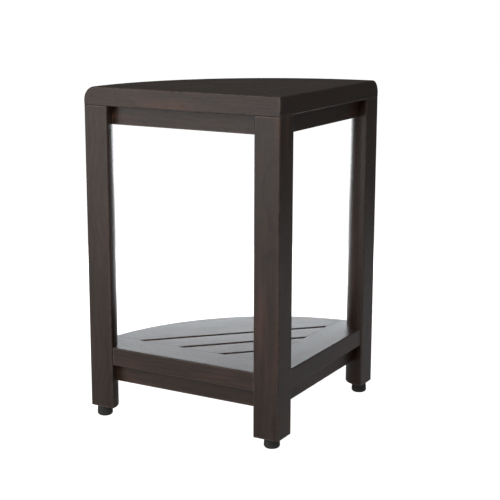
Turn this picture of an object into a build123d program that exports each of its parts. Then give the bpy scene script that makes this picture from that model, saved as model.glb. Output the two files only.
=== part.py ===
from build123d import *
import math
import os

# Corner shower stool in dark stained wood, in millimetres.
# It is modelled with the outer corner of the corner leg on the Z axis and the floor at z = 0.
# The right side runs along +X, the left side along +Y, and the seat's curved front joins their ends.
# The pieces of the left side are mirror images of the right side's.
# On export everything moves so that the origin is the middle of the footprint, on the floor.

# Plan
side = 304.8           # each straight side, and the radius of the curved front
leg = 38.1             # stock of the square corner leg and of the two end legs
leg_flat = 3.1         # flat left on either side of an end leg's round inside corner
arris = 2.0            # easing of the legs' outside arrises
board_arris = 1.6      # easing of the seat's and the shelf's outside arrises
board_recess = 1.9     # shelf edge behind the legs' outer faces
apron_recess = 14.4    # apron face behind the legs' outer faces
rail = 53.0            # line where a side rail ends, from the legs' outer faces

# Heights
pad_height = 16.0      # foot pad, which stands on the floor
foot_gap = 0.3         # foot pad below the leg when it is screwed right in
leg_length = 432.0
board = 26.0           # thickness of the seat and shelf boards
apron_height = 26.0
shelf_drop = 38.0      # lower edge of the shelf aprons above the legs' ends

# Seat and shelf boards
seat_nose = 19.0       # round-over of the seat's curved front
shelf_nose = 3.0       # round-over of the shelf's curved front
slots = 3
front_bands = 1.93     # width of the front board's band, in pitches of the slots
slot_width = 6.0
slot_ease = 0.8        # bevel along the slots
joint_ease = 0.3       # bevel along the top of the glued joints
notch_gap = 0.2        # shelf rail round a leg

# Aprons and their tenons
apron = 16.0           # thickness
front_apron_out = 13.5     # middle of a front apron outside the line between the end legs' inner corners
tenon = 8.0            # thickness
tenon_height = 16.0
tenon_reach = 22.0     # side apron's tenon past the flat face of an end leg
front_tenon = 11.0     # front apron's tenon past the back face of an end leg
tenon_fit = 0.1
tenon_mitre = 0.5      # gap between the two tenons that meet inside the corner leg
cope_gap = 0.1         # apron shoulder to the round of an end leg

# Loose tenons between the boards, and upright ones from the legs into the seat
loose_tenon = 8.0      # thickness
loose_tenon_width = 26.0
small_tenon_width = 16.0   # on the corner board
mitre_tenon_width = 12.0   # across the corner mitre
loose_tenon_reach = 12.0   # in each board
loose_tenon_end = 0.5      # empty end of a mortise
upright_up = 14.0      # part of an upright tenon in the seat
upright_down = 20.0    # part of an upright tenon in the leg
upright_inset = 10.0   # middle of an upright tenon behind the leg's outer face
corner_upright = 27.0  # middle of an upright tenon from the corner leg's other outer face
corner_upright_width = 14.0
end_upright = 18.5     # middle of an upright tenon from the end of an end leg
end_upright_width = 22.0

# Screws up through the aprons
screw_radius = 2.0
screw_length = 30.0
screw_tip = 4.0
screw_head = 4.0       # head radius
screw_head_height = 2.6
screw_fit = 0.15
screw_pocket = 8.0     # depth of the pocket below the head
side_screws = 2        # evenly spaced along a side apron
front_screws = (-85.0, 85.0)   # along a front apron, from its middle

# Screw-in feet
end_foot = 14.0        # foot axis of an end leg from its two outer faces
thread = 4.0           # radius of the foot's stud
thread_fit = 0.05
insert_radius = 6.0
insert_length = 15.0
insert_flange = 8.0
insert_flange_height = 1.2
insert_fit = 0.05
stud_reach = 24.0      # stud inside the leg when the foot is screwed right in
stud_room = 0.6        # extra radius of the leg's hole round the stud
stud_end_gap = 2.0
stud_base = 4.0        # lower end of the stud above the floor
stud_head = 6.5        # radius of the head that is moulded into the pad
stud_head_height = 4.0
stud_ease = 0.8
head_fit = 0.1
pad_top = 10.3         # radii of the pad, from the leg down
pad_waist = 11.1
pad_waist_height = 4.6
pad_sole = 9.3
pad_bevel = 0.8

# Levels and places that follow
root2 = math.sqrt(2.0)
leg_round = leg - leg_flat
leg_foot = pad_height + foot_gap
leg_top = leg_foot + leg_length
seat_apron_low = leg_top - apron_height
shelf_apron_low = leg_foot + shelf_drop
shelf_low = shelf_apron_low + apron_height
tenon_side = apron_recess + (apron - tenon) / 2
front_apron_diag = side / root2 + front_apron_out
slot_pitch = (side - root2 * rail) / (slots + front_bands)
slot_diags = [root2 * rail + (i + 1) * slot_pitch for i in range(slots)]
board_names = ("corner_board", "inner_slat", "outer_slat", "front_board")
corner_leg_axis = (leg / 2, leg / 2)
right_leg_axis = (side - end_foot, end_foot)
left_leg_axis = (end_foot, side - end_foot)
low = (Align.MIN, Align.MIN)
stand = (Align.CENTER, Align.CENTER, Align.MIN)


def swap(shape):
    """Mirror a piece of the right side onto the left side."""
    return mirror(shape, about=Plane(origin=(0, 0, 0), z_dir=(1, -1, 0)))


def prism(plan, bottom, height):
    return extrude(Pos(0, 0, bottom) * plan, amount=height)


def save(name, shape):
    export_step(Pos(-side / 2, -side / 2, 0) * shape, f"parts/{name}.step")


def save_pair(name, shape):
    save("right_" + name, shape)
    save("left_" + name, swap(shape))


# Legs

def end_leg_plan():
    """Section of the right end leg: flat outside, follows the curved front, round inside."""
    square = Pos(side - leg, 0) * Rectangle(leg, leg, align=low)
    inside = square.vertices().sort_by(Axis.Y)[-2:].sort_by(Axis.X)[0]
    blank = fillet(inside, leg_round) & Circle(side)
    outside = blank.vertices().sort_by(Axis.Y)[:2]
    return fillet(outside, arris)


def leg_hole(axis):
    """Hole in a leg's foot for the threaded insert, with room above it for the stud."""
    x, y = axis
    flange = Cylinder(insert_flange + insert_fit, insert_flange_height, align=stand)
    barrel = Cylinder(insert_radius + insert_fit, insert_length, align=stand)
    room = Cylinder(thread + stud_room, stud_reach + stud_end_gap, align=stand)
    return Pos(x, y, leg_foot) * (flange + barrel + room)


def upright_tenons(slack=0.0, end_gap=0.0):
    """Upright loose tenons from the legs into the seat; the two gaps turn them into their mortises."""
    length = upright_down + upright_up + 2 * end_gap
    level = leg_top - upright_down - end_gap
    right = []
    for x, width in ((corner_upright, corner_upright_width), (side - end_upright, end_upright_width)):
        tenon_box = Box(width + 2 * slack, loose_tenon + 2 * slack, length, align=stand)
        right.append(Pos(x, upright_inset, level) * tenon_box)
    return right + [swap(piece) for piece in right]


def corner_leg():
    plan = fillet(Rectangle(leg, leg, align=low).vertices(), arris)
    body = prism(plan, leg_foot, leg_length) - leg_hole(corner_leg_axis)
    body -= upright_tenons(tenon_fit, loose_tenon_end)
    for level in (seat_apron_low, shelf_apron_low):
        mortise = corner_tenon(level, tenon_fit, 0.0)
        body -= [mortise, swap(mortise)]
    return body


def end_leg():
    body = prism(end_leg_plan(), leg_foot, leg_length) - leg_hole(right_leg_axis)
    body -= upright_tenons(tenon_fit, loose_tenon_end)
    for level in (seat_apron_low, shelf_apron_low):
        body -= [end_tenon(level, tenon_fit), front_tenons(level, tenon_fit)]
    return body


def leg_cutter(gap):
    """Room that the right end leg takes, with a gap all round it."""
    return prism(offset(end_leg_plan(), amount=gap), 0, leg_foot + leg_length)


# Aprons

def tenon_low(level, slack):
    return level + (apron_height - tenon_height) / 2 - slack


def corner_tenon(level, slack, tip):
    """Tenon in the corner leg, mitred where it meets the one of the other side."""
    near = tenon_side - slack
    far = tenon_side + tenon + slack
    corners = [(leg, near), (leg, far), (far + tip, far), (near + tip, near)]
    plan = make_face(Polyline(*corners, close=True))
    return prism(plan, tenon_low(level, slack), tenon_height + 2 * slack)


def end_tenon(level, slack=0.0):
    """Tenon of the right apron in the right end leg."""
    start = side - leg - apron
    length = apron + tenon_reach + slack
    plan = Pos(start, tenon_side - slack) * Rectangle(length, tenon + 2 * slack, align=low)
    return prism(plan, tenon_low(level, slack), tenon_height + 2 * slack)


def screw_hole(x, y, level):
    """Pocket, countersink and shank hole for a screw that goes up through an apron."""
    shank = Cylinder(screw_radius + screw_fit, apron_height, align=stand)
    pocket = Cylinder(screw_head + screw_fit, screw_pocket, align=stand)
    sink = Cone(screw_head + screw_fit, screw_radius + screw_fit, screw_head_height, align=stand)
    return Pos(x, y, level) * (shank + pocket + Pos(0, 0, screw_pocket) * sink)


def side_screw_spots():
    """Places of the screws in the right apron, spread evenly between the legs."""
    gap = (side - 2 * leg) / side_screws
    return [(leg + gap * (i + 0.5), apron_recess + apron / 2) for i in range(side_screws)]


def front_screw_spots():
    return [((front_apron_diag + t) / root2, (front_apron_diag - t) / root2) for t in front_screws]


def side_apron(level):
    """Apron of the right side, tenoned into the corner leg and the right end leg."""
    reach = side - 2 * leg + leg_round
    blank = Pos(leg, apron_recess) * Rectangle(reach, apron, align=low)
    body = prism(blank, level, apron_height) - leg_cutter(cope_gap)
    body += [corner_tenon(level, 0.0, tenon_mitre), end_tenon(level)]
    return body - [screw_hole(x, y, level) for x, y in side_screw_spots()]


def across(length, width):
    """Bar in plan, square to the diagonal, at the front aprons' place."""
    return Rot(0, 0, 45) * Pos(front_apron_diag, 0) * Rectangle(width, length)


def front_tenons(level, slack=0.0):
    """Both tenons of a front apron in one bar that runs right through it."""
    half = front_apron_diag - root2 * (leg - front_tenon) + slack
    return prism(across(2 * half, tenon + 2 * slack), tenon_low(level, slack), tenon_height + 2 * slack)


def front_apron(level):
    """Straight apron between the round insides of the two end legs."""
    bar = prism(across(2 * front_apron_diag, apron), level, apron_height)
    inside = prism(Rectangle(side, side, align=low) & Circle(side), level, apron_height)
    legs = leg_cutter(cope_gap)
    body = (bar & inside) - [legs, swap(legs)]
    middle = body.solids().sort_by(SortBy.VOLUME)[-1]
    body = middle + front_tenons(level)
    return body - [screw_hole(x, y, level) for x, y in front_screw_spots()]


# Seat and shelf

def blank_board(bottom, recess, nose):
    """Whole seat or shelf before it is divided: a quarter disc with a rounded front."""
    corner = Rectangle(side, board, align=low)
    section = fillet(corner.vertices().sort_by(Axis.Y)[-2:].sort_by(Axis.X)[-1], nose)
    disc = revolve(Plane.XZ * section, axis=Axis.Z, revolution_arc=90)
    keep = Pos(recess, recess) * Box(side, side, board, align=(Align.MIN, Align.MIN, Align.MIN))
    whole = disc & keep
    rings = whole.edges().filter_by(GeomType.CIRCLE).filter_by(lambda e: e.radius > side / 2)
    nose_rings = rings.sort_by(Axis.Z)[-2:]
    outside = [e for e in whole.edges() if e not in nose_rings]
    return Pos(0, 0, bottom) * fillet(outside, board_arris) - joint_grooves(bottom + board)


def rail_tenons():
    """Middle, along the right rail's inner line, and width of each loose tenon that crosses it."""
    reach = loose_tenon_reach
    half = slot_width / 2
    corner_end = (slot_diags[0] - half) * root2 - rail - reach
    spots = [((rail + reach + corner_end) / 2, small_tenon_width)]
    for near, far in zip(slot_diags, slot_diags[1:]):
        spots.append(((near + far) / root2 - rail - reach / 2, loose_tenon_width))
    front_start = (slot_diags[-1] + half) * root2 - rail
    front_end = math.sqrt(side ** 2 - (rail + reach) ** 2)
    spots.append(((front_start + front_end) / 2, loose_tenon_width))
    return spots


def loose_tenons(bottom, slack=0.0, end_gap=0.0):
    """Loose tenons of a seat or shelf; the two gaps turn them into their mortises."""
    height = bottom + board / 2
    thick = loose_tenon + 2 * slack
    long = 2 * (loose_tenon_reach + end_gap)
    right = [Pos(x, rail, height) * Box(width + 2 * slack, long, thick) for x, width in rail_tenons()]
    mitre = (rail + min(leg, rail)) / 2
    corner = Pos(mitre, mitre, height) * Rot(0, 0, 45) * Box(mitre_tenon_width + 2 * slack, long, thick)
    return right + [swap(piece) for piece in right] + [corner]


def groove(start, end, height, size):
    """Four-sided bar along a line in plan; what it is cut from gets bevels of that size."""
    way = Vector(*end) - Vector(*start)
    section = Plane(origin=(*start, height), x_dir=way.cross(Vector(0, 0, 1)), z_dir=way)
    diamond = section.location * Rot(0, 0, 45) * Rectangle(root2 * size, root2 * size)
    return extrude(diamond, amount=way.length)


def joint_grooves(top):
    """Fine grooves along the glued joints: the rails' inner lines and the corner mitre."""
    inner = (rail, rail)
    lines = [(inner, (side, rail)), (inner, (rail, side)), ((0, 0), inner)]
    return [groove(start, end, top, joint_ease) for start, end in lines]


def slot_bevels(bottom):
    """Bevels along both edges of every slot, above and below."""
    edges = [slot + way * slot_width / 2 for slot in slot_diags for way in (-1, 1)]
    reaches = [edge * root2 for edge in edges]
    levels = (bottom, bottom + board)
    return [groove((reach, 0), (0, reach), level, slot_ease) for reach in reaches for level in levels]


def band(near, far):
    """Strip in plan square to the diagonal, between two distances from the outer corner."""
    return Rot(0, 0, 45) * Pos((near + far) / 2, 0) * Rectangle(far - near, 2 * side)


def inner_boards(blank, bottom):
    """Boards between the side rails, from the corner to the curved front."""
    inner = Pos(rail, rail) * Rectangle(side, side, align=low)
    bevels = slot_bevels(bottom)
    nears = [0.0] + [slot + slot_width / 2 for slot in slot_diags]
    fars = [slot - slot_width / 2 for slot in slot_diags] + [root2 * side]
    pieces = {}
    for name, near, far in zip(board_names, nears, fars):
        pieces[name] = (blank & prism(inner & band(near, far), bottom, board)) - bevels
    return pieces


def side_rail(blank, bottom):
    """Border board of the right side, mitred at the corner."""
    corners = [(0, 0), (side, 0), (side, rail), (rail, rail)]
    return blank & prism(make_face(Polyline(*corners, close=True)), bottom, board)


def seat():
    blank = blank_board(leg_top, 0.0, seat_nose)
    holes = loose_tenons(leg_top, tenon_fit, loose_tenon_end) + pilot_holes(leg_top)
    for name, piece in inner_boards(blank, leg_top).items():
        save("seat_" + name, piece - holes)
    mortises = upright_tenons(tenon_fit, loose_tenon_end)
    save_pair("seat_rail", side_rail(blank, leg_top) - holes - mortises)
    save("seat_loose_tenons", Compound(loose_tenons(leg_top)))


def shelf():
    blank = blank_board(shelf_low, board_recess, shelf_nose)
    holes = loose_tenons(shelf_low, tenon_fit, loose_tenon_end) + pilot_holes(shelf_low)
    for name, piece in inner_boards(blank, shelf_low).items():
        save("shelf_" + name, piece - holes)
    notch = Box(2 * (leg + notch_gap), 2 * (leg + notch_gap), 2 * leg_top)
    save_pair("shelf_rail", side_rail(blank, shelf_low) - holes - notch - leg_cutter(notch_gap))
    save("shelf_loose_tenons", Compound(loose_tenons(shelf_low)))


# Fasteners

def screw():
    """Countersunk wood screw, point up, with the head's flat face at z = 0."""
    outline = [(0, 0), (screw_head, 0), (screw_radius, screw_head_height)]
    outline += [(screw_radius, screw_length - screw_tip), (0, screw_length)]
    return revolve(Plane.XZ * make_face(Polyline(*outline, close=True)), axis=Axis.Z)


def all_screw_spots():
    right = side_screw_spots()
    return right + [(y, x) for x, y in right] + front_screw_spots()


def screws(board_low):
    height = board_low - apron_height + screw_pocket
    return [Pos(x, y, height) * screw() for x, y in all_screw_spots()]


def pilot_holes(board_low):
    """Holes that the screws' points turn into, in the underside of a seat or shelf."""
    depth = screw_pocket + screw_length + screw_fit - apron_height
    hole = Cylinder(screw_radius + screw_fit, depth, align=stand)
    return [Pos(x, y, board_low) * hole for x, y in all_screw_spots()]


def insert(axis):
    """Threaded insert pressed into a leg's foot, with its flange flush."""
    flange = Cylinder(insert_flange, insert_flange_height, align=stand)
    barrel = Cylinder(insert_radius, insert_length, align=stand)
    bore = Cylinder(thread + thread_fit, insert_length, align=stand)
    return Pos(axis[0], axis[1], leg_foot) * (flange + barrel - bore)


def stud(axis):
    """Threaded stud of a foot, with the head that the pad is moulded round."""
    top = leg_foot + stud_reach
    rod = Pos(0, 0, stud_base) * Cylinder(thread, top - stud_base, align=stand)
    rod = chamfer(rod.faces().sort_by(Axis.Z)[-1].edges(), stud_ease)
    head = Pos(0, 0, stud_base) * Cylinder(stud_head, stud_head_height, align=stand)
    return Pos(axis[0], axis[1], 0) * (rod + head)


def pad(axis):
    """Round plastic foot, slightly wider near the floor."""
    outline = [(0, 0), (pad_sole, 0), (pad_waist, pad_waist_height / 2), (pad_waist, pad_waist_height)]
    outline += [(pad_top, pad_height - pad_bevel), (pad_top - pad_bevel, pad_height), (0, pad_height)]
    body = revolve(Plane.XZ * make_face(Polyline(*outline, close=True)), axis=Axis.Z)
    hole = Pos(0, 0, stud_base) * Cylinder(thread + thread_fit, pad_height, align=stand)
    room = Pos(0, 0, stud_base - head_fit)
    room *= Cylinder(stud_head + head_fit, stud_head_height + 2 * head_fit, align=stand)
    return Pos(axis[0], axis[1], 0) * (body - hole - room)


def feet():
    axes = {"corner": corner_leg_axis, "right": right_leg_axis, "left": left_leg_axis}
    save("foot_inserts", Compound([insert(axis) for axis in axes.values()]))
    for name, axis in axes.items():
        save(name + "_foot_stud", stud(axis))
        save(name + "_foot_pad", pad(axis))


def main():
    os.makedirs("parts", exist_ok=True)
    save("corner_leg", corner_leg())
    save_pair("leg", end_leg())
    for level, name in ((seat_apron_low, "seat"), (shelf_apron_low, "shelf")):
        save_pair(name + "_apron", side_apron(level))
        save(name + "_front_apron", front_apron(level))
    seat()
    shelf()
    save("leg_loose_tenons", Compound(upright_tenons()))
    save("seat_screws", Compound(screws(leg_top)))
    save("shelf_screws", Compound(screws(shelf_low)))
    feet()


main()
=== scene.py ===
import math
import random

import bmesh
import bpy
from mathutils import Euler, Matrix, Vector


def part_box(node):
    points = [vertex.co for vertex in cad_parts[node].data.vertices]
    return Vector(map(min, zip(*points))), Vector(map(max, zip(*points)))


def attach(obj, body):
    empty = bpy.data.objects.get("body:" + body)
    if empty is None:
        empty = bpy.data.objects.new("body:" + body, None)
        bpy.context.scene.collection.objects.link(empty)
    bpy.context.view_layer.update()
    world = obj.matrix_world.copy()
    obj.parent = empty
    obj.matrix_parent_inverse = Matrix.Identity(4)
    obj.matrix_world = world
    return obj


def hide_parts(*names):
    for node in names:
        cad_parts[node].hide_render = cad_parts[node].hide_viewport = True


# Finish, hardware and studio for the wooden corner shower stool.
# The wooden pieces are the frame's own; they get a stained grain that runs the way each board was cut.
# The screws, the threaded studs and the foot pads are modelled here, at the frame's places.

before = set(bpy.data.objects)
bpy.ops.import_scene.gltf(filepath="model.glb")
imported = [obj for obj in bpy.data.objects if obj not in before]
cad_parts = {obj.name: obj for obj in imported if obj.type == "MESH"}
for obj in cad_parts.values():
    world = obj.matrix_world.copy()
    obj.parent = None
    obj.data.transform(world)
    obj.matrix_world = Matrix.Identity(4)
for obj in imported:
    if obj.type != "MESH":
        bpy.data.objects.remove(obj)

bl_info = {
    "name": "Corner Shower Stool",
    "version": (1, 0, 0),
    "blender": (4, 5, 0),
    "location": "3D View > Sidebar > Stool",
    "description": "Stains the boards, fits the hardware and lights the studio of a corner shower stool",
    "category": "Object",
}

MM = 0.001
LEGS = ("corner", "right", "left")
PANELS = ("seat", "shelf")

# Grain runs along X in the wood's own space; each turn brings a board's length onto it.
GRAIN_TURNS = {
    "right": (0.0, 0.0, 0.0),
    "left": (0.0, 0.0, -math.pi / 2),
    "upright": (0.0, math.pi / 2, 0.0),
    "chord": (0.0, 0.0, math.pi / 4),
}

# The log that the boards are cut from: how far along it, how far from its pith, and in what tone.
WOOD_SEED = 7
LOG_LENGTHS = (-2.0, 2.0)
PITH_GAPS = (45 * MM, 110 * MM)
BOARD_TONES = (0.92, 1.1)

# Noise in the timber, as grains along and across a metre of board, and how far the rings wander.
FIBRES = (22.0, 850.0)
STREAKS = (5.0, 90.0)
PATCHES = (7.0, 26.0)
PORES = (150.0, 2600.0)
WANDER = 14 * MM

# Ridge of a thread: the share sunk into the core, its base in pitches, and its crest in bases.
RIDGE_SUNK = 0.25
RIDGE_BASE = 0.8
RIDGE_CREST = 0.25

# Depth of a metric thread in pitches, and a wood screw's root as a share of its outer radius.
METRIC_DEPTH = 0.61
SCREW_ROOT = 0.7

# Zinc plate of the hardware, and where its edges are rubbed bright.
INSERT_ZINC = (0.60, 0.60, 0.62)
SCREW_ZINC = (0.58, 0.56, 0.50)
STUD_ZINC = (0.66, 0.66, 0.67)
RUBBED_ZINC = (0.85, 0.84, 0.82, 1.0)

FLOOR_WIDTH = 60.0

# Room that a shader node takes up when the nodes are set out.
NODE_WIDTH = 240
NODE_HEIGHT = 220


# Properties

class StoolFinish(bpy.types.PropertyGroup):
    """Stain, grain and lacquer of the boards."""

    stain_dark: bpy.props.FloatVectorProperty(
        name="Dark Stain", description="Colour of the late wood and the pores",
        subtype="COLOR", min=0.0, max=1.0, default=(0.021, 0.0110, 0.0076))
    stain_light: bpy.props.FloatVectorProperty(
        name="Light Stain", description="Colour of the early wood",
        subtype="COLOR", min=0.0, max=1.0, default=(0.064, 0.036, 0.025))
    stain_red: bpy.props.FloatVectorProperty(
        name="Red Stain", description="Colour where the wood's own red shows through the stain",
        subtype="COLOR", min=0.0, max=1.0, default=(0.088, 0.040, 0.025))
    ring_gap: bpy.props.FloatProperty(
        name="Ring Gap", description="Distance between two growth rings",
        unit="LENGTH", min=0.5 * MM, default=4.2 * MM, precision=4)
    gloss_rough: bpy.props.FloatProperty(
        name="Lacquer Roughness", description="Roughness of the satin lacquer",
        min=0.0, max=1.0, default=0.34)
    # Edge Rub and Rubbed Colour lighten the board arrises: partly stain rubbed thin, partly a painted
    # highlight along the edges.
    edge_rub_and_highlight: bpy.props.FloatProperty(
        name="Edge Rub", description="How far the stain is rubbed off the arrises",
        min=0.0, max=1.0, default=0.45)
    rubbed_and_highlight: bpy.props.FloatVectorProperty(
        name="Rubbed Colour", description="Colour of the arrises where the stain is rubbed thin",
        subtype="COLOR", min=0.0, max=1.0, default=(0.190, 0.150, 0.120))


class StoolHardware(bpy.types.PropertyGroup):
    """Threads, screw heads and foot pads."""

    stud_radius: bpy.props.FloatProperty(
        name="Stud Radius", description="Outer radius of a foot's thread",
        unit="LENGTH", min=1.0 * MM, default=4.0 * MM, precision=4)
    stud_pitch: bpy.props.FloatProperty(
        name="Stud Pitch", description="Rise of a foot's thread in one turn",
        unit="LENGTH", min=0.3 * MM, default=1.25 * MM, precision=5)
    screw_radius: bpy.props.FloatProperty(
        name="Screw Radius", description="Outer radius of a wood screw's thread",
        unit="LENGTH", min=0.5 * MM, default=2.0 * MM, precision=4)
    screw_pitch: bpy.props.FloatProperty(
        name="Screw Pitch", description="Rise of a wood screw's thread in one turn",
        unit="LENGTH", min=0.5 * MM, default=1.8 * MM, precision=4)
    recess_depth: bpy.props.FloatProperty(
        name="Recess Depth", description="Depth of the cross recess in a screw's head",
        unit="LENGTH", min=0.5 * MM, default=2.2 * MM, precision=4)
    pad_bevel: bpy.props.FloatProperty(
        name="Pad Bevel", description="Rounding of a foot pad's edges",
        unit="LENGTH", min=0.1 * MM, default=0.7 * MM, precision=4)
    pad_colour: bpy.props.FloatVectorProperty(
        name="Pad Colour", description="Colour of the moulded feet",
        subtype="COLOR", min=0.0, max=1.0, default=(0.036, 0.034, 0.032))


class StoolStudio(bpy.types.PropertyGroup):
    """Camera, softboxes and floor."""

    camera_place: bpy.props.FloatVectorProperty(
        name="Camera Place", description="Where the camera stands",
        subtype="TRANSLATION", unit="LENGTH", default=(-1.5424, -0.8877, 0.6259))
    camera_yaw: bpy.props.FloatProperty(
        name="Camera Yaw", description="Direction of view, from +X towards +Y",
        subtype="ANGLE", default=math.radians(29.249))
    camera_pitch: bpy.props.FloatProperty(
        name="Camera Pitch", description="Tilt of the camera below the horizon",
        subtype="ANGLE", default=math.radians(12.479))
    camera_roll: bpy.props.FloatProperty(
        name="Camera Roll", description="Turn of the camera about its line of view",
        subtype="ANGLE", default=math.radians(0.165))
    lens: bpy.props.FloatProperty(
        name="Lens", description="Focal length on a 36 mm sensor",
        unit="CAMERA", min=10.0, default=90.28)
    left_light: bpy.props.FloatProperty(
        name="Left Softbox", description="Power of the tall softbox that the left side reflects",
        unit="POWER", min=0.0, default=6.4)
    front_light: bpy.props.FloatProperty(
        name="Front Softbox", description="Power of the softbox above the camera",
        unit="POWER", min=0.0, default=25.7)
    back_light: bpy.props.FloatProperty(
        name="Back Panel", description="Power of the low panel that the shelf reflects",
        unit="POWER", min=0.0, default=7.4)
    floor_light: bpy.props.FloatProperty(
        name="Floor Panel", description="Power of the panel on the floor behind the stool",
        unit="POWER", min=0.0, default=8.0)
    top_light: bpy.props.FloatProperty(
        name="Top Softbox", description="Power of the softbox overhead",
        unit="POWER", min=0.0, default=2.0)
    back_colour: bpy.props.FloatVectorProperty(
        name="Back Colour", description="Colour of the low panel that the shelf reflects",
        subtype="COLOR", min=0.0, max=1.0, default=(0.92, 0.965, 1.0))
    room_light: bpy.props.FloatProperty(
        name="Room Light", description="Brightness of the room round the softboxes",
        min=0.0, default=0.09)
    floor_drop: bpy.props.FloatProperty(
        name="Floor Drop",
        description="Depth of the floor under the soles, room for the feet to screw out",
        unit="LENGTH", min=0.0, default=10.5 * MM, precision=4)
    floor_glow: bpy.props.FloatProperty(
        name="Floor Glow", description="White added to the floor where the camera sees it",
        min=0.0, default=0.95)


# Shader nodes

def put(tree, kind, inputs=None, **settings):
    """Add a shader node; an input is a value or the output of an earlier node."""
    node = tree.nodes.new("ShaderNode" + kind)
    for name, value in settings.items():
        setattr(node, name, value)
    for name, value in (inputs or {}).items():
        if isinstance(value, bpy.types.NodeSocket):
            tree.links.new(value, node.inputs[name])
        else:
            node.inputs[name].default_value = value
    return node


def maths(tree, operation, first, second=0.0, third=0.0):
    """Output of a math node."""
    return put(tree, "Math", {0: first, 1: second, 2: third}, operation=operation).outputs[0]


def added(tree, value, source, amount):
    """Value with a share of another added to it."""
    return maths(tree, "MULTIPLY_ADD", source, amount, value)


def swayed(tree, value, noise, amount):
    """Value swayed up and down by a noise about its middle."""
    return added(tree, value, maths(tree, "SUBTRACT", noise, 0.5), amount)


def vector_maths(tree, operation, first, second):
    """Output of a vector math node."""
    return put(tree, "VectorMath", {0: first, 1: second}, operation=operation).outputs[0]


def blend_colours(tree, factor, first, second, way="MIX"):
    """Output of a colour mix, whose colour sockets are inputs 6 and 7 and output 2."""
    inputs = {0: factor, 6: first, 7: second}
    return put(tree, "Mix", inputs, data_type="RGBA", blend_type=way).outputs[2]


def smooth_range(tree, value, low, high, out_low=0.0, out_high=1.0):
    """Output that rises smoothly from one value to another as the input goes from low to high."""
    inputs = {"Value": value, 1: low, 2: high, 3: out_low, 4: out_high}
    return put(tree, "MapRange", inputs, interpolation_type="SMOOTHSTEP").outputs[0]


def stretched_noise(tree, place, scale, detail, rough):
    """Noise whose grains are stretched along X: scale is how many lie along and across a metre."""
    along, across = scale
    spread = vector_maths(tree, "MULTIPLY", place, (along, across, across))
    inputs = {"Vector": spread, "Scale": 1.0, "Detail": detail, "Roughness": rough}
    return put(tree, "TexNoise", inputs).outputs[0]


def lay_out(tree):
    """Set the nodes out in columns, each to the right of what feeds it."""
    column, filled = {}, {}
    for node in tree.nodes:
        feeders = [link.from_node for link in tree.links if link.to_node == node]
        column[node.name] = 1 + max((column.get(other.name, 0) for other in feeders), default=0)
        row = filled.get(column[node.name], 0)
        filled[column[node.name]] = row + 1
        node.location = (NODE_WIDTH * column[node.name], -NODE_HEIGHT * row)


def new_group(name, inputs, outputs):
    """Node group with its sockets; returns the tree and the output of its input node."""
    tree = bpy.data.node_groups.new(name, "ShaderNodeTree")
    for label, kind, value in inputs:
        socket = tree.interface.new_socket(label, in_out="INPUT", socket_type="NodeSocket" + kind)
        if value is not None:
            socket.default_value = value
    for label, kind in outputs:
        tree.interface.new_socket(label, in_out="OUTPUT", socket_type="NodeSocket" + kind)
    return tree, tree.nodes.new("NodeGroupInput").outputs


def close_group(tree, results):
    """Lead the results to the group's outputs."""
    end = tree.nodes.new("NodeGroupOutput")
    for name, value in results.items():
        tree.links.new(value, end.inputs[name])
    lay_out(tree)
    return tree


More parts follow.
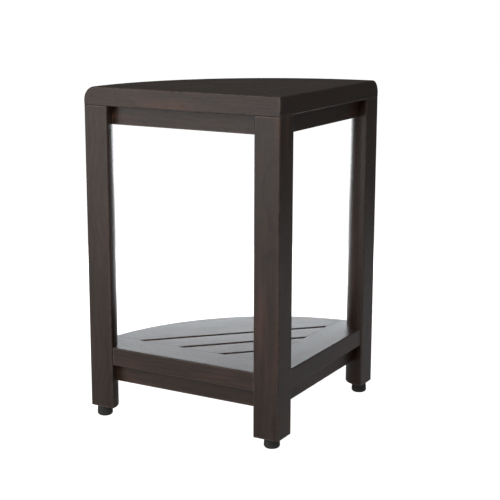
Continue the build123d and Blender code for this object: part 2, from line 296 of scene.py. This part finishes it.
def timber_group():
    """Grain of a board: colour, roughness and height, with the fibres along X."""
    tree, given = new_group("timber", [
        ("Vector", "Vector", None),
        ("Dark", "Color", None),
        ("Light", "Color", None),
        ("Red", "Color", None),
        ("Ring Gap", "Float", 3.0 * MM),
        ("Tone", "Float", 1.0),
        ("Roughness", "Float", 0.35),
    ], [("Color", "Color"), ("Roughness", "Float"), ("Height", "Float")])
    place = given["Vector"]

    # The rings wander a little along the board and wrinkle across it.
    wander = put(tree, "TexNoise", {"Vector": place, "Scale": 9.0, "Detail": 2.0}).outputs["Color"]
    shift = vector_maths(tree, "SUBTRACT", wander, (0.5, 0.5, 0.5))
    shift = vector_maths(tree, "MULTIPLY", shift, (0.0, WANDER, WANDER))
    bent = vector_maths(tree, "ADD", place, shift)
    across = vector_maths(tree, "MULTIPLY", bent, (0.0, 1.0, 1.0))
    from_pith = put(tree, "VectorMath", {0: across}, operation="LENGTH").outputs["Value"]
    ring = maths(tree, "FRACT", maths(tree, "DIVIDE", from_pith, given["Ring Gap"]))
    darkening = smooth_range(tree, ring, low=0.25, high=0.9)
    late = maths(tree, "MULTIPLY", darkening, smooth_range(tree, ring, low=1.0, high=0.9))

    # Fibres, broad streaks of colour, and open pores along the grain.
    fibre = stretched_noise(tree, bent, FIBRES, detail=4.0, rough=0.65)
    streak = stretched_noise(tree, bent, STREAKS, detail=3.0, rough=0.6)
    patch = stretched_noise(tree, place, PATCHES, detail=2.0, rough=0.5)
    speck = stretched_noise(tree, place, PORES, detail=1.0, rough=0.5)
    pore = smooth_range(tree, speck, low=0.62, high=0.70)

    # Early wood takes the stain lightly, late wood and pores darkly.
    # The wood's own red shows where streaks and patches meet.
    lightness = added(tree, 0.56, late, amount=-0.22)
    lightness = swayed(tree, lightness, fibre, amount=1.1)
    lightness = swayed(tree, lightness, streak, amount=1.1)
    lightness = put(tree, "Clamp", {0: lightness}).outputs[0]
    stained = blend_colours(tree, lightness, given["Dark"], given["Light"])
    redness = smooth_range(tree, added(tree, patch, streak, amount=0.5), low=0.76, high=1.02)
    stained = blend_colours(tree, redness, stained, given["Red"])
    soaked = maths(tree, "MULTIPLY", pore, 0.8)
    stained = blend_colours(tree, soaked, stained, given["Dark"])
    tone = put(tree, "CombineColor", {channel: given["Tone"] for channel in range(3)}).outputs[0]
    colour = blend_colours(tree, 1.0, stained, tone, "MULTIPLY")

    # The lacquer sinks in the pores and lies duller on the loose early wood.
    rough = swayed(tree, given["Roughness"], fibre, amount=0.16)
    rough = swayed(tree, rough, streak, amount=0.14)
    rough = added(tree, rough, pore, amount=0.2)
    ridges = maths(tree, "MULTIPLY", late, 0.25)
    height = added(tree, ridges, fibre, amount=0.5)
    height = maths(tree, "SUBTRACT", height, pore)
    return close_group(tree, {"Color": colour, "Roughness": rough, "Height": height})


def edge_group():
    """Mask of the outer edges, where little stuff lies under the surface, broken up as wear is; on the
    boards it also places a painted highlight.
    """
    tree, given = new_group("edge_wear_and_highlight", [
        ("Vector", "Vector", None),
        ("Radius", "Float", 1.0 * MM),
        ("Amount", "Float", 0.5),
    ], [("Mask", "Float")])
    depth = put(tree, "AmbientOcclusion", {"Distance": given["Radius"]},
                samples=8, inside=True, only_local=True)
    edge = smooth_range(tree, depth.outputs["AO"], low=0.98, high=0.82)
    broken = put(tree, "TexNoise", {"Vector": given["Vector"], "Scale": 160.0, "Detail": 4.0})
    worn = smooth_range(tree, broken.outputs[0], low=0.30, high=0.55)
    mask = maths(tree, "MULTIPLY", maths(tree, "MULTIPLY", edge, worn), given["Amount"])
    return close_group(tree, {"Mask": mask})


def scuff_group():
    """Fine scuffs and a moulded or rolled grain for plastic and metal."""
    tree, given = new_group("scuffs", [
        ("Vector", "Vector", None),
        ("Grain", "Float", 2500.0),
        ("Base", "Float", 0.5),
        ("Spread", "Float", 0.1),
    ], [("Roughness", "Float"), ("Height", "Float"), ("Mask", "Float")])
    grain = put(tree, "TexNoise", {"Vector": given["Vector"], "Scale": given["Grain"], "Detail": 2.0})
    blotch = put(tree, "TexNoise", {
        "Vector": given["Vector"], "Scale": 140.0, "Detail": 5.0, "Roughness": 0.7})
    mask = smooth_range(tree, blotch.outputs[0], low=0.45, high=0.70)
    rough = added(tree, given["Base"], mask, given["Spread"])
    return close_group(tree, {"Roughness": rough, "Height": grain.outputs[0], "Mask": mask})


def group(name, build):
    """Shared node group, built when it is first asked for."""
    return bpy.data.node_groups.get(name) or build()


def use_group(tree, name, build, inputs):
    """Outputs of a shared node group with its inputs set."""
    return put(tree, "Group", inputs, node_tree=group(name, build)).outputs


def new_material(name):
    """Material with its nodes cleared; returns it and its tree."""
    material = bpy.data.materials.new(name)
    material.use_nodes = True
    material.node_tree.nodes.clear()
    return material, material.node_tree


def close_material(material, shader):
    """Lead the shader to the material's output."""
    tree = material.node_tree
    put(tree, "OutputMaterial", {"Surface": shader.outputs[0]})
    lay_out(tree)
    return material


def bumped(tree, height, depth, strength):
    """Normal of a surface with a fine relief."""
    inputs = {"Height": height, "Distance": depth, "Strength": strength}
    return put(tree, "Bump", inputs).outputs[0]


# Wood

def own_grain(node, grain, dice):
    """Turn and shift that give a board its own piece of the log, off to one side of the pith."""
    turn = GRAIN_TURNS[grain]
    low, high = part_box(node)
    middle = Euler(turn).to_matrix() @ ((low + high) / 2)
    angle = dice.uniform(0.0, 2 * math.pi)
    reach = dice.uniform(*PITH_GAPS)
    log = Vector((dice.uniform(*LOG_LENGTHS), reach * math.cos(angle), reach * math.sin(angle)))
    return turn, log - middle


def stained_wood(node, grain, dice):
    """Dark stain under satin lacquer, on one board."""
    finish = bpy.context.scene.stool_finish
    turn, shift = own_grain(node, grain, dice)
    tone = dice.uniform(*BOARD_TONES)
    material, tree = new_material("stained_" + node)
    space = put(tree, "TexCoord").outputs["Object"]
    board = put(tree, "Mapping", {"Vector": space, "Rotation": turn, "Location": shift}).outputs[0]
    wood = use_group(tree, "timber", timber_group, {
        "Vector": board,
        "Dark": (*finish.stain_dark, 1.0),
        "Light": (*finish.stain_light, 1.0),
        "Red": (*finish.stain_red, 1.0),
        "Ring Gap": finish.ring_gap,
        "Tone": tone,
        "Roughness": finish.gloss_rough,
    })
    # The arrises are lightened here: partly stain rubbed thin, partly a painted highlight along the
    # edges.
    rubbed_and_highlight = use_group(tree, "edge_wear_and_highlight", edge_group, {
        "Vector": space, "Radius": 2.0 * MM, "Amount": finish.edge_rub_and_highlight})["Mask"]
    colour = blend_colours(tree, rubbed_and_highlight, wood["Color"], (*finish.rubbed_and_highlight, 1.0))
    shader = put(tree, "BsdfPrincipled", {
        "Base Color": colour,
        "Roughness": wood["Roughness"],
        "Normal": bumped(tree, wood["Height"], depth=0.12 * MM, strength=0.35),
        "IOR": 1.56,
    })
    return close_material(material, shader)


def raw_beech():
    """Unfinished beech of the loose tenons."""
    material, tree = new_material("raw_beech")
    space = put(tree, "TexCoord").outputs["Object"]
    wood = use_group(tree, "timber", timber_group, {
        "Vector": space,
        "Dark": (0.36, 0.20, 0.10, 1.0),
        "Light": (0.62, 0.42, 0.25, 1.0),
        "Red": (0.52, 0.30, 0.17, 1.0),
        "Ring Gap": 2.2 * MM,
        "Tone": 1.0,
        "Roughness": 0.62,
    })
    shader = put(tree, "BsdfPrincipled", {
        "Base Color": wood["Color"],
        "Roughness": wood["Roughness"],
        "Normal": bumped(tree, wood["Height"], depth=0.15 * MM, strength=0.4),
    })
    return close_material(material, shader)


# Metal and plastic

def shaded(colour, factor):
    """Colour made lighter or darker by a factor, with its alpha."""
    return (*[min(1.0, factor * channel) for channel in colour], 1.0)


def plated_steel(name, colour):
    """Zinc plate over steel, dulled in patches and bright along the edges."""
    material, tree = new_material(name)
    space = put(tree, "TexCoord").outputs["Object"]
    scuffs = use_group(tree, "scuffs", scuff_group, {
        "Vector": space, "Grain": 1800.0, "Base": 0.26, "Spread": 0.18})
    edge = use_group(tree, "edge_wear_and_highlight", edge_group, {
        "Vector": space, "Radius": 0.4 * MM, "Amount": 0.6})["Mask"]
    plate = blend_colours(tree, scuffs["Mask"], (*colour, 1.0), shaded(colour, factor=0.72))
    plate = blend_colours(tree, edge, plate, RUBBED_ZINC)
    shader = put(tree, "BsdfPrincipled", {
        "Base Color": plate,
        "Metallic": 1.0,
        "Roughness": scuffs["Roughness"],
        "Normal": bumped(tree, scuffs["Height"], depth=0.03 * MM, strength=0.25),
    })
    return close_material(material, shader)


def moulded_plastic():
    """Black plastic of the feet, with a fine moulded grain."""
    colour = bpy.context.scene.stool_hardware.pad_colour
    material, tree = new_material("moulded_plastic")
    space = put(tree, "TexCoord").outputs["Object"]
    scuffs = use_group(tree, "scuffs", scuff_group, {
        "Vector": space, "Grain": 3200.0, "Base": 0.42, "Spread": 0.16})
    edge = use_group(tree, "edge_wear_and_highlight", edge_group, {
        "Vector": space, "Radius": 0.6 * MM, "Amount": 0.5})["Mask"]
    body = blend_colours(tree, scuffs["Mask"], (*colour, 1.0), shaded(colour, factor=1.3))
    body = blend_colours(tree, edge, body, shaded(colour, factor=2.6))
    shader = put(tree, "BsdfPrincipled", {
        "Base Color": body,
        "Roughness": scuffs["Roughness"],
        "Normal": bumped(tree, scuffs["Height"], depth=0.06 * MM, strength=0.4),
    })
    return close_material(material, shader)


def paint(piece, material):
    """Give a piece its one material."""
    piece.data.materials.clear()
    piece.data.materials.append(material)
    for slot in piece.material_slots:
        slot.link = "OBJECT"
        slot.material = material


# Modelling

def start(kind, name, **settings):
    """Add a primitive with nothing else selected, ready to be shaped in edit mode."""
    bpy.ops.object.select_all(action="DESELECT")
    getattr(bpy.ops.mesh, f"primitive_{kind}_add")(**settings)
    piece = bpy.context.object
    piece.name = piece.data.name = name
    bpy.ops.object.mode_set(mode="EDIT")
    return piece


def finish_piece(piece):
    """Leave edit mode with the faces turned outwards, and put the place into the mesh."""
    bpy.ops.mesh.select_all(action="SELECT")
    bpy.ops.mesh.normals_make_consistent(inside=False)
    bpy.ops.object.mode_set(mode="OBJECT")
    bpy.ops.object.transform_apply(location=True, rotation=True, scale=True)
    return piece


def apply_modifier(piece, kind, **settings):
    """Put a modifier on the active piece and apply it."""
    modifier = piece.modifiers.new(kind.lower(), kind)
    for name, value in settings.items():
        setattr(modifier, name, value)
    bpy.ops.object.modifier_apply(modifier=modifier.name)


def turned(name, axis, profile, segments):
    """Turn a closed piece about an upright axis, from radii and heights in a lathe's order."""
    (radius, height), *rest = profile
    piece = start("circle", name, vertices=segments, radius=radius, fill_type="NGON",
                  location=(*axis, height))
    for wide, high in rest:
        bpy.ops.mesh.extrude_region_move(TRANSFORM_OT_translate={"value": (0, 0, high - height)})
        scale = wide / radius
        bpy.ops.transform.resize(value=(scale, scale, 1), center_override=(*axis, high))
        radius, height = wide, high
    return finish_piece(piece)


def thread(name, axis, root, crest, pitch, low, high, segments):
    """Wind a thread's ridge about an upright axis, between two heights."""
    overlap = RIDGE_SUNK * (crest - root)
    centre = (*axis, low + pitch / 2)
    ridge = start("plane", name, size=1, location=centre)
    bpy.ops.transform.rotate(value=math.pi / 2, orient_axis="X", center_override=centre)
    wide = crest - root + overlap
    bpy.ops.transform.resize(value=(wide, 1, RIDGE_BASE * pitch), center_override=centre)
    middle = root - overlap + wide / 2
    bpy.ops.transform.translate(value=(middle, 0, 0))
    mesh = bmesh.from_edit_mesh(ridge.data)
    for vertex in mesh.verts:
        vertex.select = vertex.co.x > middle
    mesh.select_flush_mode()
    bpy.ops.transform.resize(value=(1, 1, RIDGE_CREST), center_override=centre)
    bpy.ops.mesh.select_all(action="SELECT")
    bpy.ops.mesh.delete(type="ONLY_FACE")
    bpy.ops.object.mode_set(mode="OBJECT")
    turns = int((high - low) / pitch) - 1
    apply_modifier(ridge, "SCREW", screw_offset=pitch, iterations=turns, steps=segments,
                   render_steps=segments, use_merge_vertices=False)
    bpy.ops.object.mode_set(mode="EDIT")
    bpy.ops.mesh.select_all(action="SELECT")
    bpy.ops.mesh.fill_holes(sides=4)
    return finish_piece(ridge)


def take(pieces):
    """Select some pieces and nothing else, with the first of them active."""
    bpy.ops.object.select_all(action="DESELECT")
    for piece in pieces:
        piece.select_set(True)
    bpy.context.view_layer.objects.active = pieces[0]


def join(pieces):
    """Join pieces into the first of them."""
    take(pieces)
    bpy.ops.object.join()
    return pieces[0]


def shade(piece, angle):
    """Shade smooth, apart from the edges sharper than an angle in degrees."""
    take([piece])
    bpy.ops.object.shade_smooth_by_angle(angle=math.radians(angle))


def fit(piece, body, slot, *nodes):
    """Hang a finished piece on its body in place of the frame's nodes."""
    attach(piece, body)
    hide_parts(*nodes)


def axis_and_radius(low, high):
    """Axis and radius of a round upright piece between two corners."""
    return ((low.x + high.x) / 2, (low.y + high.y) / 2), (high.x - low.x) / 2


def islands(node):
    """Lowest and highest corner of each separate solid in a node."""
    mesh = bmesh.new()
    mesh.from_mesh(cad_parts[node].data)
    bmesh.ops.remove_doubles(mesh, verts=mesh.verts, dist=0.001 * MM)
    boxes, seen = [], set()
    for first in mesh.verts:
        if first in seen:
            continue
        found, waiting = [], [first]
        seen.add(first)
        while waiting:
            vertex = waiting.pop()
            found.append(vertex.co.copy())
            for link in vertex.link_edges:
                other = link.other_vert(vertex)
                if other not in seen:
                    seen.add(other)
                    waiting.append(other)
        boxes.append([Vector([pick(co[i] for co in found) for i in range(3)]) for pick in (min, max)])
    mesh.free()
    return boxes


# Operators

class StainOperator:
    """Stains the boards that the operator lists, each with its own piece of the log."""

    boards = ()

    def execute(self, context):
        dice = random.Random(f"{WOOD_SEED} {self.bl_idname}")
        for node, grain in self.boards:
            paint(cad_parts[node], stained_wood(node, grain, dice))
        return {"FINISHED"}


class STOOL_OT_stain_legs(StainOperator, bpy.types.Operator):
    """Stain the three legs, with the grain upright"""

    bl_idname = "stool.stain_legs"
    bl_label = "Stain Legs"
    boards = [(leg + "_leg", "upright") for leg in LEGS]


class STOOL_OT_stain_aprons(StainOperator, bpy.types.Operator):
    """Stain the aprons under the seat and under the shelf"""

    bl_idname = "stool.stain_aprons"
    bl_label = "Stain Aprons"
    boards = [(f"{side}_{level}_apron", side) for level in PANELS for side in ("right", "left")]
    boards += [(f"{level}_front_apron", "chord") for level in PANELS]


def panel_boards(level):
    """Boards of the seat or shelf, with the way their grain runs."""
    inner = ("corner_board", "inner_slat", "outer_slat", "front_board")
    rails = [(f"{side}_{level}_rail", side) for side in ("right", "left")]
    return rails + [(f"{level}_{name}", "chord") for name in inner]


class STOOL_OT_stain_seat(StainOperator, bpy.types.Operator):
    """Stain the boards of the slotted seat"""

    bl_idname = "stool.stain_seat"
    bl_label = "Stain Seat"
    boards = panel_boards("seat")


class STOOL_OT_stain_shelf(StainOperator, bpy.types.Operator):
    """Stain the boards of the slotted shelf"""

    bl_idname = "stool.stain_shelf"
    bl_label = "Stain Shelf"
    boards = panel_boards("shelf")


class STOOL_OT_finish_tenons(bpy.types.Operator):
    """Give the loose tenons their raw beech"""

    bl_idname = "stool.finish_tenons"
    bl_label = "Finish Tenons"

    def execute(self, context):
        beech = raw_beech()
        for name in (*PANELS, "leg"):
            paint(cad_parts[name + "_loose_tenons"], beech)
        return {"FINISHED"}


class STOOL_OT_plate_inserts(bpy.types.Operator):
    """Plate the threaded inserts in the legs' ends"""

    bl_idname = "stool.plate_inserts"
    bl_label = "Plate Inserts"

    def execute(self, context):
        paint(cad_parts["foot_inserts"], plated_steel("insert_zinc", INSERT_ZINC))
        return {"FINISHED"}


class STOOL_OT_drive_screws(bpy.types.Operator):
    """Model the countersunk wood screws and drive one into each pocket"""

    bl_idname = "stool.drive_screws"
    bl_label = "Drive Screws"

    def one_screw(self, hardware, low, high):
        """Wood screw, head down, on the frame's screw between two corners."""
        axis, head = axis_and_radius(low, high)
        crest = hardware.screw_radius
        root = SCREW_ROOT * crest
        neck = low.z + (head - root)
        tip = high.z - 2 * crest
        face = (head - 0.1 * MM, low.z)
        rim = (head, low.z + 0.15 * MM)
        point = (0.1 * root, high.z)
        core = turned("screw_core", axis, [face, rim, (root, neck), (root, tip), point], segments=32)
        ridge = thread("screw_ridge", axis, root, crest, hardware.screw_pitch, neck, tip, segments=20)
        self.cut_recess(core, (*axis, low.z), hardware.recess_depth, reach=0.62 * head)
        return join([core, ridge])

    def cut_recess(self, core, centre, depth, reach):
        """Cut the cross recess into the head's flat face, its arms narrower at the bottom."""
        arm, taper = 0.36 * reach, 0.35
        for turn in (0.0, math.pi / 2):
            cutter = start("cube", "recess_cutter", size=1, location=centre)
            bpy.ops.transform.resize(value=(2 * reach, arm, 2 * depth), center_override=centre)
            bpy.ops.transform.rotate(value=turn, orient_axis="Z", center_override=centre)
            mesh = bmesh.from_edit_mesh(cutter.data)
            for vertex in mesh.verts:
                vertex.select = vertex.co.z > 0
            mesh.select_flush_mode()
            bpy.ops.transform.resize(value=(taper, taper, 1), center_override=centre)
            finish_piece(cutter)
            bpy.context.view_layer.objects.active = core
            apply_modifier(core, "BOOLEAN", operation="DIFFERENCE", object=cutter, solver="EXACT")
            bpy.data.objects.remove(cutter)

    def execute(self, context):
        hardware = context.scene.stool_hardware
        steel = plated_steel("screw_zinc", SCREW_ZINC)
        for level in PANELS:
            node = level + "_screws"
            places = islands(node)
            first = self.one_screw(hardware, *places[0])
            copies = [first]
            for low, high in places[1:]:
                copy = first.copy()
                copy.data = first.data.copy()
                copy.data.transform(Matrix.Translation(low - places[0][0]))
                context.scene.collection.objects.link(copy)
                copies.append(copy)
            driven = join(copies)
            driven.name = driven.data.name = node + "_driven"
            shade(driven, angle=35)
            paint(driven, steel)
            fit(driven, "stool_frame", "screw_steel", node)
        return {"FINISHED"}


class STOOL_OT_turn_studs(bpy.types.Operator):
    """Turn the threaded studs of the three feet"""

    bl_idname = "stool.turn_studs"
    bl_label = "Turn Studs"

    def execute(self, context):
        hardware = context.scene.stool_hardware
        zinc = plated_steel("stud_zinc", STUD_ZINC)
        crest = hardware.stud_radius
        root = crest - METRIC_DEPTH * hardware.stud_pitch
        head_height = 4.0 * MM
        ease = 0.8 * MM
        for leg in LEGS:
            node = leg + "_foot_stud"
            low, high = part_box(node)
            axis, head = axis_and_radius(low, high)
            neck = low.z + head_height
            end = high.z - ease
            profile = [(head, low.z), (head, neck), (root, neck), (root, end), (root - ease, high.z)]
            core = turned(leg + "_stud_threaded", axis, profile, segments=48)
            ridge = thread("stud_ridge", axis, root, crest, hardware.stud_pitch, neck, end, segments=36)
            stud = join([core, ridge])
            shade(stud, angle=35)
            paint(stud, zinc)
            fit(stud, leg + "_stud", "zinc_steel", node)
        return {"FINISHED"}


class STOOL_OT_mould_pads(bpy.types.Operator):
    """Mould the three round feet round the heads of their studs"""

    bl_idname = "stool.mould_pads"
    bl_label = "Mould Pads"

    def execute(self, context):
        hardware = context.scene.stool_hardware
        plastic = moulded_plastic()
        bore = hardware.stud_radius + 0.1 * MM
        pocket = 6.6 * MM
        for leg in LEGS:
            node = leg + "_foot_pad"
            low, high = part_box(node)
            axis, waist = axis_and_radius(low, high)
            sole, shoulder = waist - 1.8 * MM, waist - 0.8 * MM
            waist_foot, waist_top = low.z + 2.3 * MM, low.z + 4.6 * MM
            pocket_floor, pocket_roof = low.z + 3.9 * MM, low.z + 8.2 * MM
            outside = [(sole, low.z), (waist, waist_foot), (waist, waist_top), (shoulder, high.z)]
            inside = [(bore, high.z), (bore, pocket_roof)]
            inside += [(pocket, pocket_roof), (pocket, pocket_floor)]
            pad = turned(leg + "_pad_moulded", axis, outside + inside, segments=96)
            apply_modifier(pad, "BEVEL", width=hardware.pad_bevel, segments=3, limit_method="ANGLE",
                           angle_limit=math.radians(20))
            shade(pad, angle=40)
            paint(pad, plastic)
            fit(pad, leg + "_pad", "foot_plastic", node)
        return {"FINISHED"}


class STOOL_OT_set_stage(bpy.types.Operator):
    """Set the floor, the softboxes and the camera"""

    bl_idname = "stool.set_stage"
    bl_label = "Set Stage"

    def add_floor(self, studio):
        """White floor, wide enough to fill the view."""
        floor = start("plane", "studio_floor", size=FLOOR_WIDTH, location=(0, 0, -studio.floor_drop))
        finish_piece(floor)
        material, tree = new_material("studio_white")
        seen = put(tree, "LightPath").outputs["Is Camera Ray"]
        glow = maths(tree, "MULTIPLY", seen, studio.floor_glow)
        white = put(tree, "BsdfDiffuse", {"Color": (0.82, 0.82, 0.82, 1.0)})
        light = put(tree, "Emission", {"Color": (1.0, 1.0, 1.0, 1.0), "Strength": glow})
        both = put(tree, "AddShader", {0: white.outputs[0], 1: light.outputs[0]})
        close_material(material, both)
        paint(floor, material)

    def add_softbox(self, name, place, target, size, power, colour=(1.0, 1.0, 1.0)):
        """Large flat lamp that the camera doesn't see."""
        lamp = bpy.data.lights.new(name, "AREA")
        lamp.shape = "RECTANGLE"
        lamp.size, lamp.size_y = size
        lamp.energy = power
        lamp.color = colour
        holder = bpy.data.objects.new(name, lamp)
        aim = Vector(target) - Vector(place)
        holder.location = place
        holder.rotation_euler = aim.to_track_quat("-Z", "Y").to_euler()
        holder.visible_camera = False
        bpy.context.scene.collection.objects.link(holder)

    def add_room(self, studio):
        """Dim room round the softboxes, white where the camera looks past the floor."""
        world = bpy.data.worlds.new("studio_room")
        world.use_nodes = True
        tree = world.node_tree
        tree.nodes.clear()
        seen = put(tree, "LightPath").outputs["Is Camera Ray"]
        strength = smooth_range(tree, seen, 0.0, 1.0, studio.room_light, 1.0)
        light = put(tree, "Background", {"Color": (1.0, 1.0, 1.0, 1.0), "Strength": strength})
        put(tree, "OutputWorld", {"Surface": light.outputs[0]})
        lay_out(tree)
        bpy.context.scene.world = world

    def add_camera(self, studio):
        """Camera where the photo was taken from."""
        camera = bpy.data.cameras.new("photo_camera")
        camera.sensor_width = 36.0
        camera.lens = studio.lens
        holder = bpy.data.objects.new("photo_camera", camera)
        heading = Matrix.Rotation(studio.camera_yaw - math.pi / 2, 4, "Z")
        tilt = Matrix.Rotation(math.pi / 2 - studio.camera_pitch, 4, "X")
        roll = Matrix.Rotation(studio.camera_roll, 4, "Z")
        holder.matrix_world = Matrix.Translation(studio.camera_place) @ heading @ tilt @ roll
        bpy.context.scene.collection.objects.link(holder)
        bpy.context.scene.camera = holder

    def execute(self, context):
        studio = context.scene.stool_studio
        self.add_floor(studio)
        self.add_softbox("left_softbox", place=(-1.5, 0.85, 0.62), target=(0, 0, 0.5),
                         size=(1.3, 1.2), power=studio.left_light)
        self.add_softbox("front_softbox", place=(-2.2, -0.6, 1.9), target=(0, 0, 0.3),
                         size=(1.6, 1.2), power=studio.front_light)
        self.add_softbox("back_panel", place=(1.0, 0.62, 0.29), target=(0, 0, 0.29),
                         size=(1.7, 0.34), power=studio.back_light, colour=studio.back_colour)
        self.add_softbox("floor_panel", place=(1.2, 0.7, 0.01), target=(1.2, 0.7, 1.0),
                         size=(1.4, 1.4), power=studio.floor_light)
        self.add_softbox("top_softbox", place=(-0.2, 0.1, 2.3), target=(0, 0, 0.4),
                         size=(1.4, 1.4), power=studio.top_light)
        self.add_room(studio)
        self.add_camera(studio)
        context.scene.view_settings.view_transform = "Standard"
        return {"FINISHED"}


class STOOL_PT_sidebar(bpy.types.Panel):
    """Sizes, colours and steps of the stool"""

    bl_idname = "STOOL_PT_sidebar"
    bl_label = "Corner Stool"
    bl_space_type = "VIEW_3D"
    bl_region_type = "UI"
    bl_category = "Stool"

    def draw(self, context):
        for name in PROPERTY_GROUPS:
            box = self.layout.box()
            settings = getattr(context.scene, name)
            for label in settings.bl_rna.properties.keys():
                if label not in ("rna_type", "name"):
                    box.prop(settings, label)
        for step in STEPS:
            self.layout.operator(step.bl_idname)


PROPERTY_GROUPS = {
    "stool_finish": StoolFinish,
    "stool_hardware": StoolHardware,
    "stool_studio": StoolStudio,
}
STEPS = (
    STOOL_OT_stain_legs,
    STOOL_OT_stain_aprons,
    STOOL_OT_stain_seat,
    STOOL_OT_stain_shelf,
    STOOL_OT_finish_tenons,
    STOOL_OT_plate_inserts,
    STOOL_OT_drive_screws,
    STOOL_OT_turn_studs,
    STOOL_OT_mould_pads,
    STOOL_OT_set_stage,
)


def register():
    """Register the classes and hang their settings on the scene."""
    for cls in (*PROPERTY_GROUPS.values(), *STEPS, STOOL_PT_sidebar):
        bpy.utils.register_class(cls)
    for name, cls in PROPERTY_GROUPS.items():
        setattr(bpy.types.Scene, name, bpy.props.PointerProperty(type=cls))


def unregister():
    """Take the settings and the classes away again."""
    for name in PROPERTY_GROUPS:
        delattr(bpy.types.Scene, name)
    for cls in (STOOL_PT_sidebar, *STEPS, *PROPERTY_GROUPS.values()):
        bpy.utils.unregister_class(cls)


def main():
    """Run every step in order."""
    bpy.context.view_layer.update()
    register()
    bpy.ops.stool.stain_legs()
    bpy.ops.stool.stain_aprons()
    bpy.ops.stool.stain_seat()
    bpy.ops.stool.stain_shelf()
    bpy.ops.stool.finish_tenons()
    bpy.ops.stool.plate_inserts()
    bpy.ops.stool.drive_screws()
    bpy.ops.stool.turn_studs()
    bpy.ops.stool.mould_pads()
    bpy.ops.stool.set_stage()


if __name__ == "__main__":
    main()
